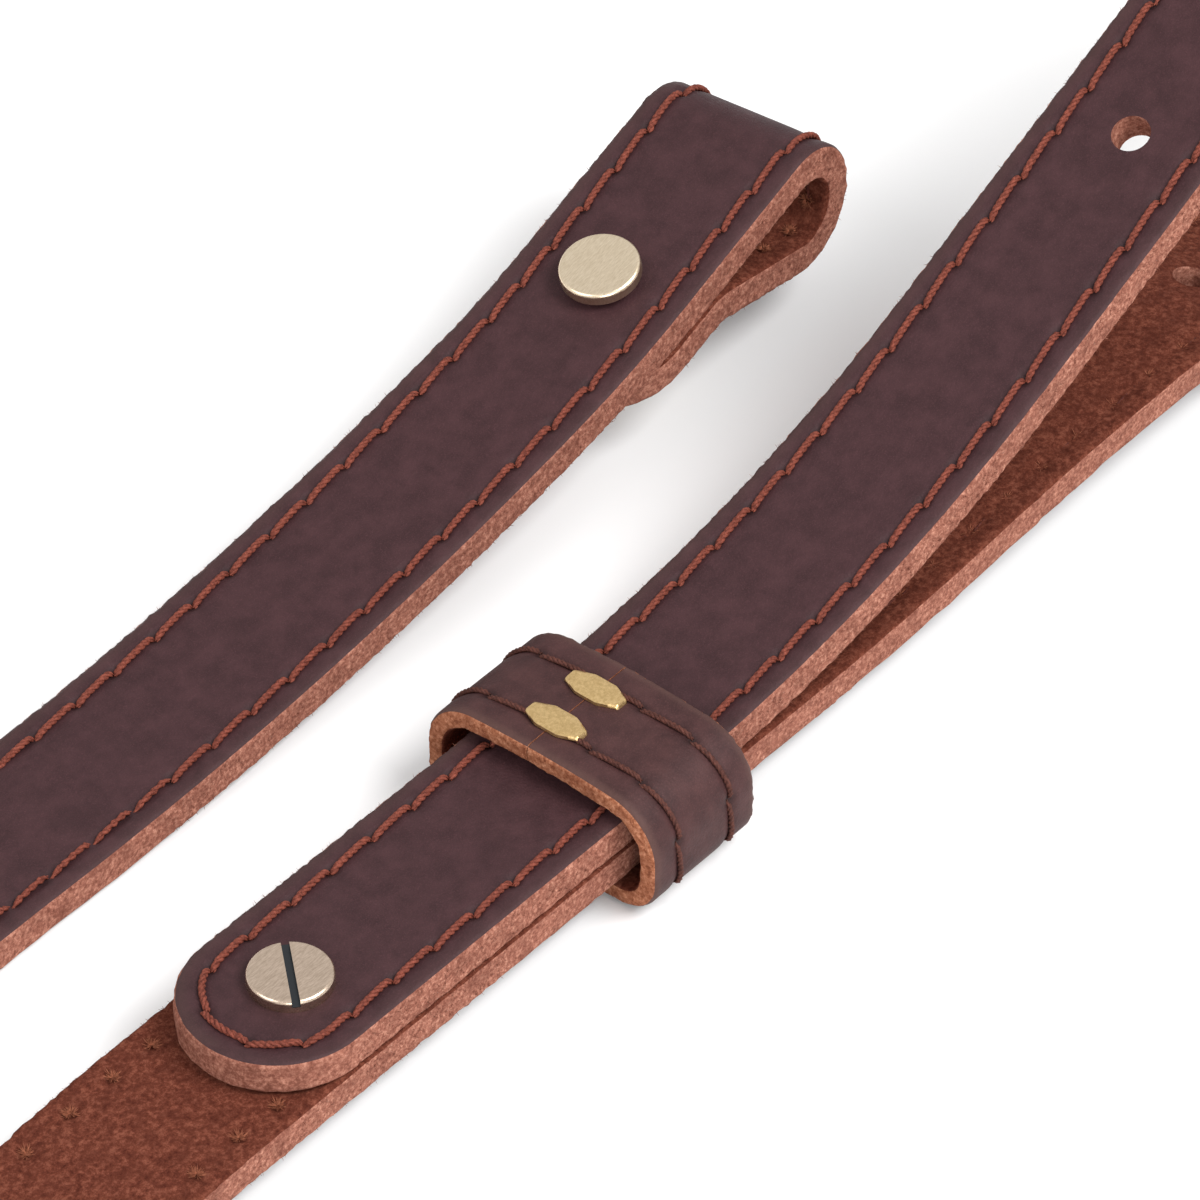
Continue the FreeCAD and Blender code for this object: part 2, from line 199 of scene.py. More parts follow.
def strip_path():
    """The middle of the strip, stepped finely through every zone."""
    t, w, n = np.eye(3)
    point = np.array((half_width - tip_to_screw, 0.0, upper_mid))
    distance = 0.0
    rows = [(distance, point, t, w, n)]
    for length, angle, slant, yaw in strip_zones():
        count = math.ceil(length / path_step)
        for _ in range(count):
            ruling = w if yaw else w * cos(slant) + t * sin(slant)
            half, half_yaw = angle / count / 2, yaw / count / 2
            point = point + spun(spun(t, n, half_yaw), ruling, half) * (length / count)
            t = spun(spun(t, n, 2 * half_yaw), ruling, 2 * half)
            w = spun(spun(w, n, 2 * half_yaw), ruling, 2 * half)
            n = np.cross(t, w)
            distance += length / count
            rows.append((distance, point, t, w, n))
    return Path(*(np.array(column) for column in zip(*rows)))


STRIP = strip_path()
EYE_LEG_HOLE = STRIP.length - sum(zone[0] for zone in strip_zones()[-4:]) - eye_screw_back


def in_use_distance():
    """The place on the lower layer that is right under the tail screw."""
    distances = np.arange(*in_use_search, 0.05)
    return float(distances[np.argmin(abs(STRIP.at(distances)[0][:, 0]))])


# ---- meshes ----

def new_object(name, verts, faces, materials, face_materials=None, crease=None):
    """An object from points in the strip's own millimetres."""
    mesh = bpy.data.meshes.new(name)
    mesh.from_pydata((np.asarray(verts) * MM + ORIGIN).tolist(), [], faces)
    for material in materials:
        mesh.materials.append(material)
    if face_materials is not None:
        mesh.polygons.foreach_set("material_index", face_materials)
    mesh.polygons.foreach_set("use_smooth", [True] * len(mesh.polygons))
    if crease:
        mesh.set_sharp_from_angle(angle=math.radians(crease))
    mesh.update()
    piece = bpy.data.objects.new(name, mesh)
    bpy.context.scene.collection.objects.link(piece)
    return piece


def add_attribute(piece, name, values):
    attribute = piece.data.attributes.new(name, "FLOAT", "POINT")
    attribute.data.foreach_set("value", np.asarray(values, np.float32))


def welded(piece, distance):
    """Joins points that coincide, and turns every face outwards."""
    work = bmesh.new()
    work.from_mesh(piece.data)
    bmesh.ops.remove_doubles(work, verts=work.verts, dist=distance * MM)
    bmesh.ops.recalc_face_normals(work, faces=work.faces)
    work.to_mesh(piece.data)
    work.free()
    piece.data.update()


def rough(points, scale, seed):
    """Smooth noise from -1 to 1 at every point."""
    shift = Vector((seed, seed * 0.7, -seed))
    return np.array([noise.noise(Vector(point) * scale + shift) for point in points])


def section(half, deep, grain_insets, flesh_insets, wall_points):
    """Half of a leather section, from the middle of the grain side round to that of the flesh side."""
    ring = [(half - inset, deep, 0.0, 1.0) for inset in sorted(grain_insets, reverse=True)]
    for angle in (67.5, 45.0, 22.5, 0.0):
        ring.append((half - grain_round * (1 - cos(angle)), deep - grain_round * (1 - sin(angle)),
                     cos(angle), sin(angle)))
    top, bottom = deep - grain_round, flesh_round - deep
    ring += [(half, top + (bottom - top) * k / (wall_points + 1), 1.0, 0.0)
             for k in range(1, wall_points + 1)]
    for angle in (0.0, 30.0, 60.0):
        ring.append((half - flesh_round * (1 - cos(angle)), flesh_round * (1 - sin(angle)) - deep,
                     cos(angle), -sin(angle)))
    ring += [(half - inset, -deep, 0.0, -1.0) for inset in sorted(flesh_insets)]
    mirrored = [(-u, v, -nu, nv) for u, v, nu, nv in reversed(ring[1:-1])]
    return np.array(ring + mirrored)


def ring_materials(ring):
    """0 for the grain side, 1 for a cut edge and 2 for the flesh side, for each span of the ring."""
    middle = (ring[:, 3] + np.roll(ring[:, 3], -1)) / 2
    return np.where(middle > 0.6, 0, np.where(middle < -0.6, 2, 1))


def tube_faces(rows, count):
    """Quads between rows of a closed ring, and the row and the span that each is on."""
    row, span = np.meshgrid(np.arange(rows - 1), np.arange(count), indexing="ij")
    after = (span + 1) % count
    quads = np.stack((row * count + span, row * count + after,
                      (row + 1) * count + after, (row + 1) * count + span), -1)
    return quads.reshape(-1, 4), row.ravel(), span.ravel()


# ---- stitches ----

class StitchLoop:
    """The row of stitches that runs along one side, round a tip, back, and round the other tip."""

    def __init__(self):
        self.inset = half_width - stitch_inset
        self.side = STRIP.length
        self.arc = math.pi * self.inset
        self.length = 2 * (self.side + self.arc)

    def at(self, place):
        """The point at the middle of the leather, and the along, across and out directions."""
        place = np.asarray(place, float) % self.length
        second = place >= self.side + self.arc
        local = np.where(second, place - self.side - self.arc, place)
        turning = np.clip(local - self.side, 0, self.arc) / self.inset
        run = np.clip(local, 0, self.side)
        distance = np.where(second, self.side - run, run)
        point, t, w, n = STRIP.at(distance)
        flip = np.where(second, -1.0, 1.0)[..., None]
        forward, inward = t * flip, w * flip
        c, s = np.cos(turning)[..., None], np.sin(turning)[..., None]
        point = point + (forward * s - inward * c) * self.inset
        return point, forward * c + inward * s, inward * c - forward * s, n

    def distance(self, place):
        """How far along the strip a place is."""
        place = place % self.length
        if place < self.side + self.arc:
            return min(place, self.side)
        return max(0.0, self.side - (place - self.side - self.arc))


LOOP = StitchLoop()


def stitch_places(length, pitch, first, jitter):
    count = round(length / pitch)
    return [first + length * k / count + random.uniform(-jitter, jitter) for k in range(count)]


def near(distance):
    """Whether the place is on a stretch with a fine mesh."""
    return any(low <= distance <= high for low, high, _ in fine_zones)


def cords(lines, across_lists, out_lists, plies, ply_radius, spread, lay, sides):
    """Twisted threads, each one line of points; all the lines have the same number of points."""
    lines, across, out = np.array(lines), np.array(across_lists), np.array(out_lists)
    count, points = lines.shape[:2]
    steps = np.linalg.norm(np.diff(lines, axis=1), axis=2)
    run = np.concatenate((np.zeros((count, 1)), np.cumsum(steps, 1)), 1)
    taper = np.ones(points)
    taper[0] = taper[-1] = 0.35
    verts, faces = [], []
    for ply in range(plies):
        turn = 2 * math.pi * (ply / plies + run / lay)
        centre = lines + (across * np.cos(turn)[..., None] + out * np.sin(turn)[..., None]) * spread
        for side in range(sides):
            angle = 2 * math.pi * side / sides
            swing = ply_radius * taper[None, :, None]
            verts.append(centre + (across * math.cos(angle) + out * math.sin(angle)) * swing)
    # verts: (plies * sides, count, points, 3) -> (count, plies, points, sides, 3)
    grid = np.array(verts).reshape(plies, sides, count, points, 3).transpose(2, 0, 3, 1, 4)
    quads, _, _ = tube_faces(points, sides)
    cap_low = list(range(sides))
    cap_high = [(points - 1) * sides + k for k in reversed(range(sides))]
    for tube in range(count * plies):
        base = tube * points * sides
        faces += (quads + base).tolist()
        faces.append([base + k for k in cap_low])
        faces.append([base + k for k in cap_high])
    return grid.reshape(-1, 3), faces


def stitch_lines(loop, pairs, surface, points, lift, sink, slant, overlap):
    """Centre lines of stitches that dip into the leather at both ends."""
    share = np.linspace(0, 1, points)
    lines, acrosses, outs = [], [], []
    for start, end in pairs:
        place = start - overlap + (end - start + 2 * overlap) * share
        point, _, across, out = loop.at(place)
        pressed = np.where(out[:, 2] < -0.5, press_under, 0.0)
        rise = lift - pressed - (lift + sink) * np.abs(2 * share - 1) ** 5
        height = surface + math.copysign(1, surface) * rise
        sway = (share - 0.5) * 2 * slant
        lines.append(point + out * height[:, None] + across * sway[:, None])
        acrosses.append(across)
        outs.append(out)
    return lines, acrosses, outs


def joined(parts):
    """Several (points, faces) meshes as one."""
    verts, faces, base = [], [], 0
    for points, polygons in parts:
        verts.append(np.asarray(points))
        faces += [[index + base for index in polygon] for polygon in polygons]
        base += len(points)
    return np.concatenate(verts), faces


def fibres(roots, directions, ups, lengths, thickness):
    """Short curved tapering hairs with three sides."""
    parts_v, parts_f = [], []
    base = 0
    for root, direction, up, length in zip(roots, directions, ups, lengths):
        side = np.cross(direction, up)
        for share, width in ((0.0, 1.0), (0.55, 0.7)):
            middle = root + direction * length * share + up * length * 0.25 * share * share
            for angle in (0, 120, 240):
                parts_v.append(middle + (side * cos(angle) + up * sin(angle)) * thickness * width)
        parts_v.append(root + direction * length + up * length * 0.2)
        for a, b in ((0, 1), (1, 2), (2, 0)):
            parts_f.append([base + a, base + b, base + b + 3, base + a + 3])
            parts_f.append([base + a + 3, base + b + 3, base + 6])
        parts_f.append([base + 2, base + 1, base])
        base += 7
    return parts_v, parts_f


# ---- materials ----

class Shader:
    """A principled material whose textures run in millimetres."""

    def __init__(self, name, roughness, metallic=0.0, specular=0.5, stretch=(1, 1, 1)):
        self.material = bpy.data.materials.new(name)
        self.material.use_nodes = True
        self.tree = self.material.node_tree
        self.surface = self.tree.nodes["Principled BSDF"]
        self.surface.inputs["Roughness"].default_value = roughness
        self.surface.inputs["Metallic"].default_value = metallic
        self.surface.inputs["Specular IOR Level"].default_value = specular
        coordinates = self.node("ShaderNodeTexCoord")
        self.mapping = self.node("ShaderNodeMapping")
        self.mapping.inputs["Scale"].default_value = [axis / MM for axis in stretch]
        self.link(coordinates.outputs["Object"], self.mapping.inputs["Vector"])

    def node(self, kind):
        return self.tree.nodes.new(kind)

    def link(self, source, target):
        self.tree.links.new(source, target)

    def noise(self, scale, detail=4.0, rough=0.6):
        texture = self.node("ShaderNodeTexNoise")
        texture.inputs["Scale"].default_value = scale
        texture.inputs["Detail"].default_value = detail
        texture.inputs["Roughness"].default_value = rough
        self.link(self.mapping.outputs["Vector"], texture.inputs["Vector"])
        return texture.outputs["Fac"]

    def cells(self, scale):
        texture = self.node("ShaderNodeTexVoronoi")
        texture.inputs["Scale"].default_value = scale
        self.link(self.mapping.outputs["Vector"], texture.inputs["Vector"])
        return texture.outputs["Distance"]

    def ramp(self, value, *stops):
        """Colours at places from 0 to 1."""
        ramp = self.node("ShaderNodeValToRGB")
        elements = ramp.color_ramp.elements
        while len(elements) < len(stops):
            elements.new(0.5)
        for element, (place, colour) in zip(elements, stops):
            element.position = place
            element.color = (*colour, 1.0)
        self.link(value, ramp.inputs["Fac"])
        return ramp.outputs["Color"]

    def mixed(self, value, first, second):
        mix = self.node("ShaderNodeMix")
        mix.data_type = "RGBA"
        self.link(value, mix.inputs["Factor"])
        for socket, source in ((mix.inputs["A"], first), (mix.inputs["B"], second)):
            if isinstance(source, tuple):
                socket.default_value = (*source, 1.0)
            else:
                self.link(source, socket)
        return mix.outputs["Result"]

    def computed(self, operation, first, second=0.0):
        """A maths node on one socket and a number, or on two sockets."""
        step = self.node("ShaderNodeMath")
        step.operation = operation
        self.link(first, step.inputs[0])
        if isinstance(second, float):
            step.inputs[1].default_value = second
        else:
            self.link(second, step.inputs[1])
        return step.outputs["Value"]

    def attribute(self, name):
        source = self.node("ShaderNodeAttribute")
        source.attribute_name = name
        return source.outputs["Fac"]

    def colour(self, source):
        self.link(source, self.surface.inputs["Base Color"])

    def bump(self, *layers):
        """Each layer is a height from 0 to 1 and its depth in millimetres."""
        previous = None
        for height, depth in layers:
            bump = self.node("ShaderNodeBump")
            bump.inputs["Distance"].default_value = depth * MM
            self.link(height, bump.inputs["Height"])
            if previous:
                self.link(previous, bump.inputs["Normal"])
            previous = bump.outputs["Normal"]
        self.link(previous, self.surface.inputs["Normal"])


def grain_leather(name, dark, light, worn_and_sheen_colour):
    """Waxed leather: mottled and speckled, paler where it wears and, at the bend's crest, with pull-up and
    painted sheen; painted shade, near black, at the stitch holes.
    """
    shader = Shader(name, 0.6, specular=0.22)
    mottle = shader.ramp(shader.noise(0.35, 5.0), (0.36, dark), (0.66, light))
    specks = shader.ramp(shader.noise(7.0, 3.0), (0.52, (0, 0, 0)), (0.72, (0.5, 0.5, 0.5)))
    speck = shader.mixed(specks, mottle, tuple(min(1.0, 1.9 * c) for c in light))
    # Paler with wear at the margins, and with pull-up and painted sheen at the bend's crest.
    aged_and_sheen = shader.mixed(shader.attribute("wear_and_sheen"), speck, worn_and_sheen_colour)
    # Painted shade: the grain goes near black in and round the stitch holes.
    hole_shading = shader.computed("MULTIPLY", shader.attribute("hole_shade"), 0.85)
    shader.colour(shader.mixed(hole_shading, aged_and_sheen, (0.012, 0.005, 0.005)))
    shader.bump((shader.cells(2.6), 0.035), (shader.noise(9.0, 5.0, 0.7), 0.03))
    return shader.material


def fibrous_leather(name, dark, middle, light, scale):
    """Raw leather, as on a cut edge or the flesh side: blotched and furry."""
    shader = Shader(name, 0.92, specular=0.06)
    blotch = shader.ramp(shader.noise(scale, 7.0, 0.8), (0.36, dark), (0.5, middle), (0.63, light))
    patches = shader.ramp(shader.noise(0.45, 3.0), (0.42, (0, 0, 0)), (0.7, (0.55, 0.55, 0.55)))
    shader.colour(shader.mixed(patches, blotch, dark))
    shader.bump((shader.noise(1.9, 6.0, 0.75), 0.22), (shader.noise(6.0, 5.0, 0.7), 0.10))
    return shader.material


def thread_material(name, dark, light):
    shader = Shader(name, 0.7, specular=0.2)
    shader.colour(shader.ramp(shader.noise(2.6, 6.0, 0.75), (0.38, dark), (0.64, light)))
    shader.bump((shader.noise(8.0, 4.0, 0.7), 0.05))
    return shader.material


def brass_material(name, dark, light, roughness, stretch, fine):
    """Metal with long brushed lines along the axis that the textures are stretched on."""
    shader = Shader(name, roughness, metallic=1.0, stretch=stretch)
    shader.colour(shader.ramp(shader.noise(fine, 6.0, 0.7), (0.34, dark), (0.66, light)))
    shader.bump((shader.noise(fine * 2.0, 4.0, 0.6), 0.006))
    return shader


def darkened_slot(shader, turn, top, floor, width, tarnish):
    """Tarnish in a screw's slot: within its width, and between the head's top and the slot's floor."""
    link = shader.link
    coordinates = shader.node("ShaderNodeTexCoord")
    shifted = shader.node("ShaderNodeVectorMath")
    shifted.operation = "SUBTRACT"
    shifted.inputs[1].default_value = ORIGIN.tolist()
    link(coordinates.outputs["Object"], shifted.inputs[0])
    across = shader.node("ShaderNodeVectorMath")
    across.operation = "DOT_PRODUCT"
    across.inputs[1].default_value = (-sin(turn), cos(turn), 0.0)
    link(shifted.outputs["Vector"], across.inputs[0])
    split = shader.node("ShaderNodeSeparateXYZ")
    link(shifted.outputs["Vector"], split.inputs["Vector"])
    distance = shader.computed("ABSOLUTE", across.outputs["Value"])
    height = split.outputs["Z"]
    in_width = shader.computed("LESS_THAN", distance, (width / 2 + 0.02) * MM)
    under_top = shader.computed("LESS_THAN", height, (top - 0.04) * MM)
    over_floor = shader.computed("GREATER_THAN", height, (floor - 0.05) * MM)
    in_depth = shader.computed("MULTIPLY", under_top, over_floor)
    inside = shader.computed("MULTIPLY", in_width, in_depth)
    plain = shader.surface.inputs["Base Color"].links[0].from_socket
    shader.colour(shader.mixed(inside, plain, tarnish))


GRAIN = grain_leather("strap_grain", dark=(0.031, 0.0112, 0.0130), light=(0.047, 0.0180, 0.0205),
                      worn_and_sheen_colour=(0.072, 0.040, 0.034))
EDGE = fibrous_leather("cut_edge", dark=(0.15, 0.050, 0.034), middle=(0.32, 0.125, 0.086),
                       light=(0.56, 0.27, 0.19), scale=1.7)
FLESH = fibrous_leather("flesh_side", dark=(0.064, 0.015, 0.009), middle=(0.134, 0.036, 0.021),
                        light=(0.235, 0.076, 0.047), scale=1.3)
KEEPER_GRAIN = grain_leather("keeper_grain", dark=(0.034, 0.0122, 0.0124), light=(0.056, 0.0215, 0.0210),
                             worn_and_sheen_colour=(0.092, 0.046, 0.038))
KEEPER_EDGE = fibrous_leather("keeper_edge", dark=(0.17, 0.050, 0.026), middle=(0.36, 0.135, 0.070),
                              light=(0.58, 0.27, 0.16), scale=1.7)
RUST = thread_material("rust_thread", (0.085, 0.018, 0.011), (0.25, 0.064, 0.040))
BOBBIN = thread_material("bobbin_thread", (0.055, 0.011, 0.007), (0.12, 0.030, 0.019))
PUFF = thread_material("thread_ends", (0.20, 0.056, 0.028), (0.42, 0.150, 0.080))
KEEPER_THREAD = thread_material("keeper_thread", (0.040, 0.013, 0.010), (0.115, 0.038, 0.027))
brushed = (0.5, 3.0, 1.0)
# The eye's brass is a lighter copy of the tail screw's: painted light on the eye's heads and painted shade
# on the tail screw's head.
tail_brass = brass_material("tail_brass", (0.53, 0.41, 0.31), (0.80, 0.63, 0.50), 0.27, brushed, 2.2)
darkened_slot(tail_brass, tail_slot_turn, screw_top, screw_top - slot_depth, slot_width,
              tarnish=(0.06, 0.065, 0.07))
TAIL_BRASS = tail_brass.material
eye_brass = brass_material("eye_brass", (0.74, 0.60, 0.42), (0.95, 0.80, 0.60), 0.30, brushed, 2.2)
EYE_BRASS = eye_brass.material
staple_brass = brass_material("staple_brass", (0.61, 0.41, 0.175), (0.88, 0.63, 0.31), 0.38, (1, 1, 1), 3.0)
STAPLE = staple_brass.material


# ---- the strap's leather ----

def strap_holes():
    """Each hole is its distance, its reach along the strip and its radius."""
    in_use = in_use_distance()
    holes = [(in_use - hole_pitch * k, hole_radius, hole_radius) for k in range(spare_holes + 1)]
    end_reach = tip_to_screw - half_width
    holes += [(EYE_LEG_HOLE, hole_radius, hole_radius)]
    holes += [(end_reach, end_reach, end_reach), (STRIP.length - end_reach, end_reach, end_reach)]
    return holes


def strap_distances(holes):
    """Where the sections stand: fine where the strap is seen close, with a square block at each hole."""
    marks = [0.0]
    while marks[-1] < STRIP.length - 0.3:
        here = marks[-1]
        step = min([fine for low, high, fine in fine_zones if low <= here <= high] or [coarse_step])
        marks.append(min(here + step, STRIP.length))
    for centre, reach, _ in holes:
        marks = [mark for mark in marks if abs(mark - centre) > block_reach * reach + 0.15]
        marks += [centre + reach * k / block_steps for k in range(-block_marks, block_marks + 1)]
    return np.array(sorted(mark for mark in marks if -1e-6 <= mark <= STRIP.length + 1e-6))


def opened(distance, across, holes):
    """Warps the square blocks round the holes so that their inner squares become circles."""
    inside = np.zeros((len(holes), *distance.shape), bool)
    new_distance, new_across = distance.copy(), across.copy()
    for index, (centre, reach, radius) in enumerate(holes):
        a, b = (distance - centre) / reach, across / hole_radius
        size = np.maximum(abs(a), abs(b))
        block = size <= block_reach + 1e-6
        inside[index] = size <= 1 + 1e-6
        length = np.maximum(np.hypot(a, b), 1e-9)
        share = np.clip((block_reach - size) / (block_reach - 1), 0, 1)
        round_a, round_b = a / length * size * radius, b / length * size * radius
        new_distance = np.where(block, centre + share * round_a + (1 - share) * a * reach, new_distance)
        new_across = np.where(block, share * round_b + (1 - share) * b * hole_radius, new_across)
    return new_distance, new_across, inside


def strap_leather(stitch_holes):
    middle_insets = [half_width - hole_radius * k / block_steps for k in range(block_marks + 1)]
    outer_insets = [grain_round, 1.2, 1.8, 2.2, 2.6, 3.0, 3.4, 3.8, 4.3, 5.2, 6.3]
    flesh_insets = [flesh_round, 1.2, 2.0, 2.6, 3.0, 3.4, 4.2, 5.2, 6.3]
    ring = section(half_width, half_leather, outer_insets + middle_insets, flesh_insets + middle_insets, 4)
    holes = strap_holes()
    main = strap_distances(holes)
    tip_angles = np.radians(np.arange(5.0, 90.1, 5.0))
    rows = [(0.0, angle, -1.0) for angle in tip_angles[::-1]]
    rows += [(distance, 0.0, 0.0) for distance in main]
    rows += [(STRIP.length, angle, 1.0) for angle in tip_angles]
    distance, angle, end = (np.array(column)[:, None] * np.ones(len(ring)) for column in zip(*rows))
    across = np.ones((len(rows), 1)) * ring[:, 0]
    distance, across, inside = opened(distance, across, holes)
    inside &= (angle == 0)[None]
    point, t, w, n = STRIP.at(distance)
    side = w * (np.sign(across) * np.cos(angle))[..., None] + t * (end * np.sin(angle))[..., None]
    out = side * abs(ring[:, 2])[None, :, None] + n * ring[:, 3][None, :, None]
    base = point + side * abs(across)[..., None] + n * ring[:, 1][None, :, None]

    flat = base.reshape(-1, 3)
    tree = kdtree.KDTree(len(stitch_holes))
    for index, hole in enumerate(stitch_holes):
        tree.insert(hole, index)
    tree.balance()
    inset = half_width - abs(across)
    grain_side = (ring[:, 3] > 0.9)[None] & np.ones_like(inset, bool)
    flesh_side = (ring[:, 3] < -0.9)[None] & np.ones_like(inset, bool)
    wall = (abs(ring[:, 2]) > 0.3)[None] & np.ones_like(inset, bool)
    in_row = abs(inset - stitch_inset) < 1.7
    depth = np.zeros(inset.shape)
    groove = np.exp(-((inset - stitch_inset) / groove_spread) ** 2)
    depth -= np.where(grain_side, grain_groove * groove, 0) + np.where(flesh_side, flesh_groove * groove, 0)
    depth = depth.ravel()
    hole_shade = np.zeros(len(depth), np.float32)
    for index in np.flatnonzero((in_row & (grain_side | flesh_side)).ravel()):
        gap = tree.find(flat[index])[2]
        dimple = dimple_depth * math.exp(-(gap / dimple_spread) ** 2)
        depth[index] -= dimple - rim_height * math.exp(-((gap - rim_distance) / rim_spread) ** 2)
        # Painted shade: how near the point is to a stitch hole, darkening the grain there.
        hole_shade[index] = math.exp(-(gap / hole_shade_spread) ** 2)
    picked = np.flatnonzero(wall.ravel())
    wall_points = flat[picked]
    depth[picked] += 0.13 * rough(wall_points, 1.1, 3.0) + 0.10 * rough(wall_points, 2.3, 7.0) - 0.05
    wide = np.flatnonzero((grain_side | flesh_side).ravel())
    depth[wide] += 0.05 * rough(flat[wide], 0.22, 11.0)
    verts = flat + out.reshape(-1, 3) * depth[:, None]

    quads, row, span = tube_faces(len(rows), len(ring))
    in_hole = np.zeros(len(quads), bool)
    for hole in inside:
        in_hole |= hole.ravel()[quads].all(1) & (abs(ring[span, 2]) < 0.1)
    kinds = ring_materials(ring)[span]
    faces = quads[~in_hole].tolist()
    materials = kinds[~in_hole].tolist()
    for hole in inside:
        walls = hole_walls(hole, ring)
        faces += walls
        materials += [1] * len(walls)
    strap = new_object("strap_leather_skin", verts, faces, (GRAIN, EDGE, FLESH), materials)
    margin_wear = np.where(ring[:, 0] > 0, left_margin_wear, right_margin_wear)
    wear_and_sheen = np.where(ring[:, 3] > 0.3, smooth(2.2, 0.5, inset), 0) * margin_wear
    # The bend's crest is painted paler: partly pull-up where the leather stretches, partly painted sheen.
    crest = EYE_LEG_HOLE + eye_screw_back + crest_past_screw
    bend_pullup_and_sheen = crest_pullup_and_sheen * smooth(crest_half_length, 0.0, abs(distance - crest))
    wear_and_sheen = np.clip(wear_and_sheen + np.where(ring[:, 3] > 0.3, bend_pullup_and_sheen, 0), 0, 1)
    add_attribute(strap, "wear_and_sheen", wear_and_sheen.ravel())
    add_attribute(strap, "hole_shade", hole_shade)
    welded(strap, 0.002)
    strap.data.set_sharp_from_angle(angle=math.radians(48))
    return strap


def hole_walls(inside, ring):
    """Quads from the rim on the grain side to the rim on the flesh side."""
    rows = np.flatnonzero(inside.any(1))
    spans = np.flatnonzero(inside.any(0))
    top = sorted((k for k in spans if ring[k, 3] > 0.5), key=lambda k: ring[k, 0])
    bottom = sorted((k for k in spans if ring[k, 3] < -0.5), key=lambda k: ring[k, 0])
    edge = [(rows[0], k) for k in range(len(top))]
    edge += [(row, len(top) - 1) for row in rows[1:]]
    edge += [(rows[-1], k) for k in reversed(range(len(top) - 1))]
    edge += [(row, 0) for row in reversed(rows[1:-1])]
    count = len(ring)
    walls = []
    for (row_a, k_a), (row_b, k_b) in zip(edge, edge[1:] + edge[:1]):
        walls.append([int(row_a * count + top[k_a]), int(row_b * count + top[k_b]),
                      int(row_b * count + bottom[k_b]), int(row_a * count + bottom[k_a])])
    return walls


# ---- the strap's thread ----

def needle_stitches(places):
    needle_lie = (needle_lift, needle_sink, needle_slant, needle_overlap)
    close, far = [], []
    for start, end in zip(places, places[1:] + [places[0] + LOOP.length]):
        (close if near(LOOP.distance(start)) else far).append((start, end))
    parts = []
    lines = stitch_lines(LOOP, close, half_leather, 23, *needle_lie)
    parts.append(cords(*lines, plies=3, ply_radius=0.235, spread=0.195, lay=2.5, sides=7))
    lines = stitch_lines(LOOP, far, half_leather, 10, *needle_lie)
    parts.append(cords(*lines, plies=2, ply_radius=0.245, spread=0.195, lay=2.5, sides=5))
    return new_object("needle_stitches", *joined(parts), (RUST,))


def bobbin_stitches(places):
    pairs = list(zip(places, places[1:] + [places[0] + LOOP.length]))
    lines = stitch_lines(LOOP, pairs, -half_leather, 9, lift=0.05, sink=0.4, slant=-0.25, overlap=0.1)
    thread = cords(*lines, plies=2, ply_radius=0.16, spread=0.13, lay=1.6, sides=5)
    return new_object("bobbin_stitches", *thread, (BOBBIN,))


def thread_ends(places):
    """The tuft of fibres round each hole on the flesh side; the tufts seen close have more."""
    roots, directions, ups, lengths = [], [], [], []
    for place in places:
        point, along, across, out = (column.ravel() for column in LOOP.at(np.array([place])))
        count = 90 if near(LOOP.distance(place)) else 8
        for _ in range(count):
            angle = random.uniform(0, 360)
            flat = along * cos(angle) + across * sin(angle)
            lean = random.uniform(0.0, 0.7)
            direction = flat - out * lean
            direction = direction / np.linalg.norm(direction)
            roots.append(point - out * (half_leather - 0.12) + flat * random.uniform(0, 0.5))
            directions.append(direction)
            ups.append(-out)
            lengths.append(random.uniform(0.3, 0.95))
    return new_object("thread_ends_fibres", *fibres(roots, directions, ups, lengths, 0.05), (PUFF,))


def edge_fibres():
    """Short hairs on the cut edges where they are seen close."""
    roots, directions, ups, lengths = [], [], [], []
    for low, high, _ in fine_zones:
        for _ in range(int((high - low) * 26)):
            distance = random.uniform(low, min(high, STRIP.length))
            side = random.choice((-1, 1))
            point, t, w, n = (column.ravel() for column in STRIP.at(np.array([distance])))
            height = random.uniform(-half_leather + 0.2, half_leather - 0.5)
            direction = w * side + t * random.uniform(-1.4, 1.4) + n * random.uniform(-1.2, 1.2)
            roots.append(point + w * side * (half_width - 0.12) + n * height)
            directions.append(direction / np.linalg.norm(direction))
            ups.append(n)
            lengths.append(random.uniform(0.22, 0.6))
    return new_object("edge_fibres", *fibres(roots, directions, ups, lengths, 0.04), (EDGE,))


# ---- the keeper ----

def keeper_points():
    """The middle line of the keeper's leather, from one side of the seam round to the other."""
    grow = keeper_leather / 2
    floor_z = run_lift - keeper_floor_gap - grow
    top_z = upper_mid + half_leather + keeper_crown_gap + grow
    side_y = keeper_half_width + grow
    low, high = keeper_floor_corner + grow, keeper_corner + grow
    shoulder_y = keeper_half_width - keeper_corner
    shoulder_z = top_z - keeper_crown
    corners = [(side_y - high, shoulder_z - high, high, 90, 0),
               (side_y - low, floor_z + low, low, 0, -90),
               (-side_y + low, floor_z + low, low, -90, -180),
               (-side_y + high, shoulder_z - high, high, 180, 90)]
    points = [(seam_y + seam_width / 2, top_z)]
    for y, z, radius, first, last in corners:
        for k in range(13):
            angle = first + (last - first) * k / 12
            points.append((y + radius * cos(angle), z + radius * sin(angle)))
    points.append((seam_y - seam_width / 2, top_z))
    line = np.array(points)
    run = np.concatenate(((0,), np.cumsum(np.linalg.norm(np.diff(line, axis=0), axis=1))))
    even = np.linspace(0, run[-1], 261)
    line = np.stack([np.interp(even, run, column) for column in line.T], -1)
    crown = keeper_crown * (1 - (np.clip(abs(line[:, 0]) / shoulder_y, 0, 1)) ** 2)
    on_top = line[:, 1] > shoulder_z - 0.02
    line[:, 1] = np.where(on_top, shoulder_z + crown, line[:, 1])
    return line


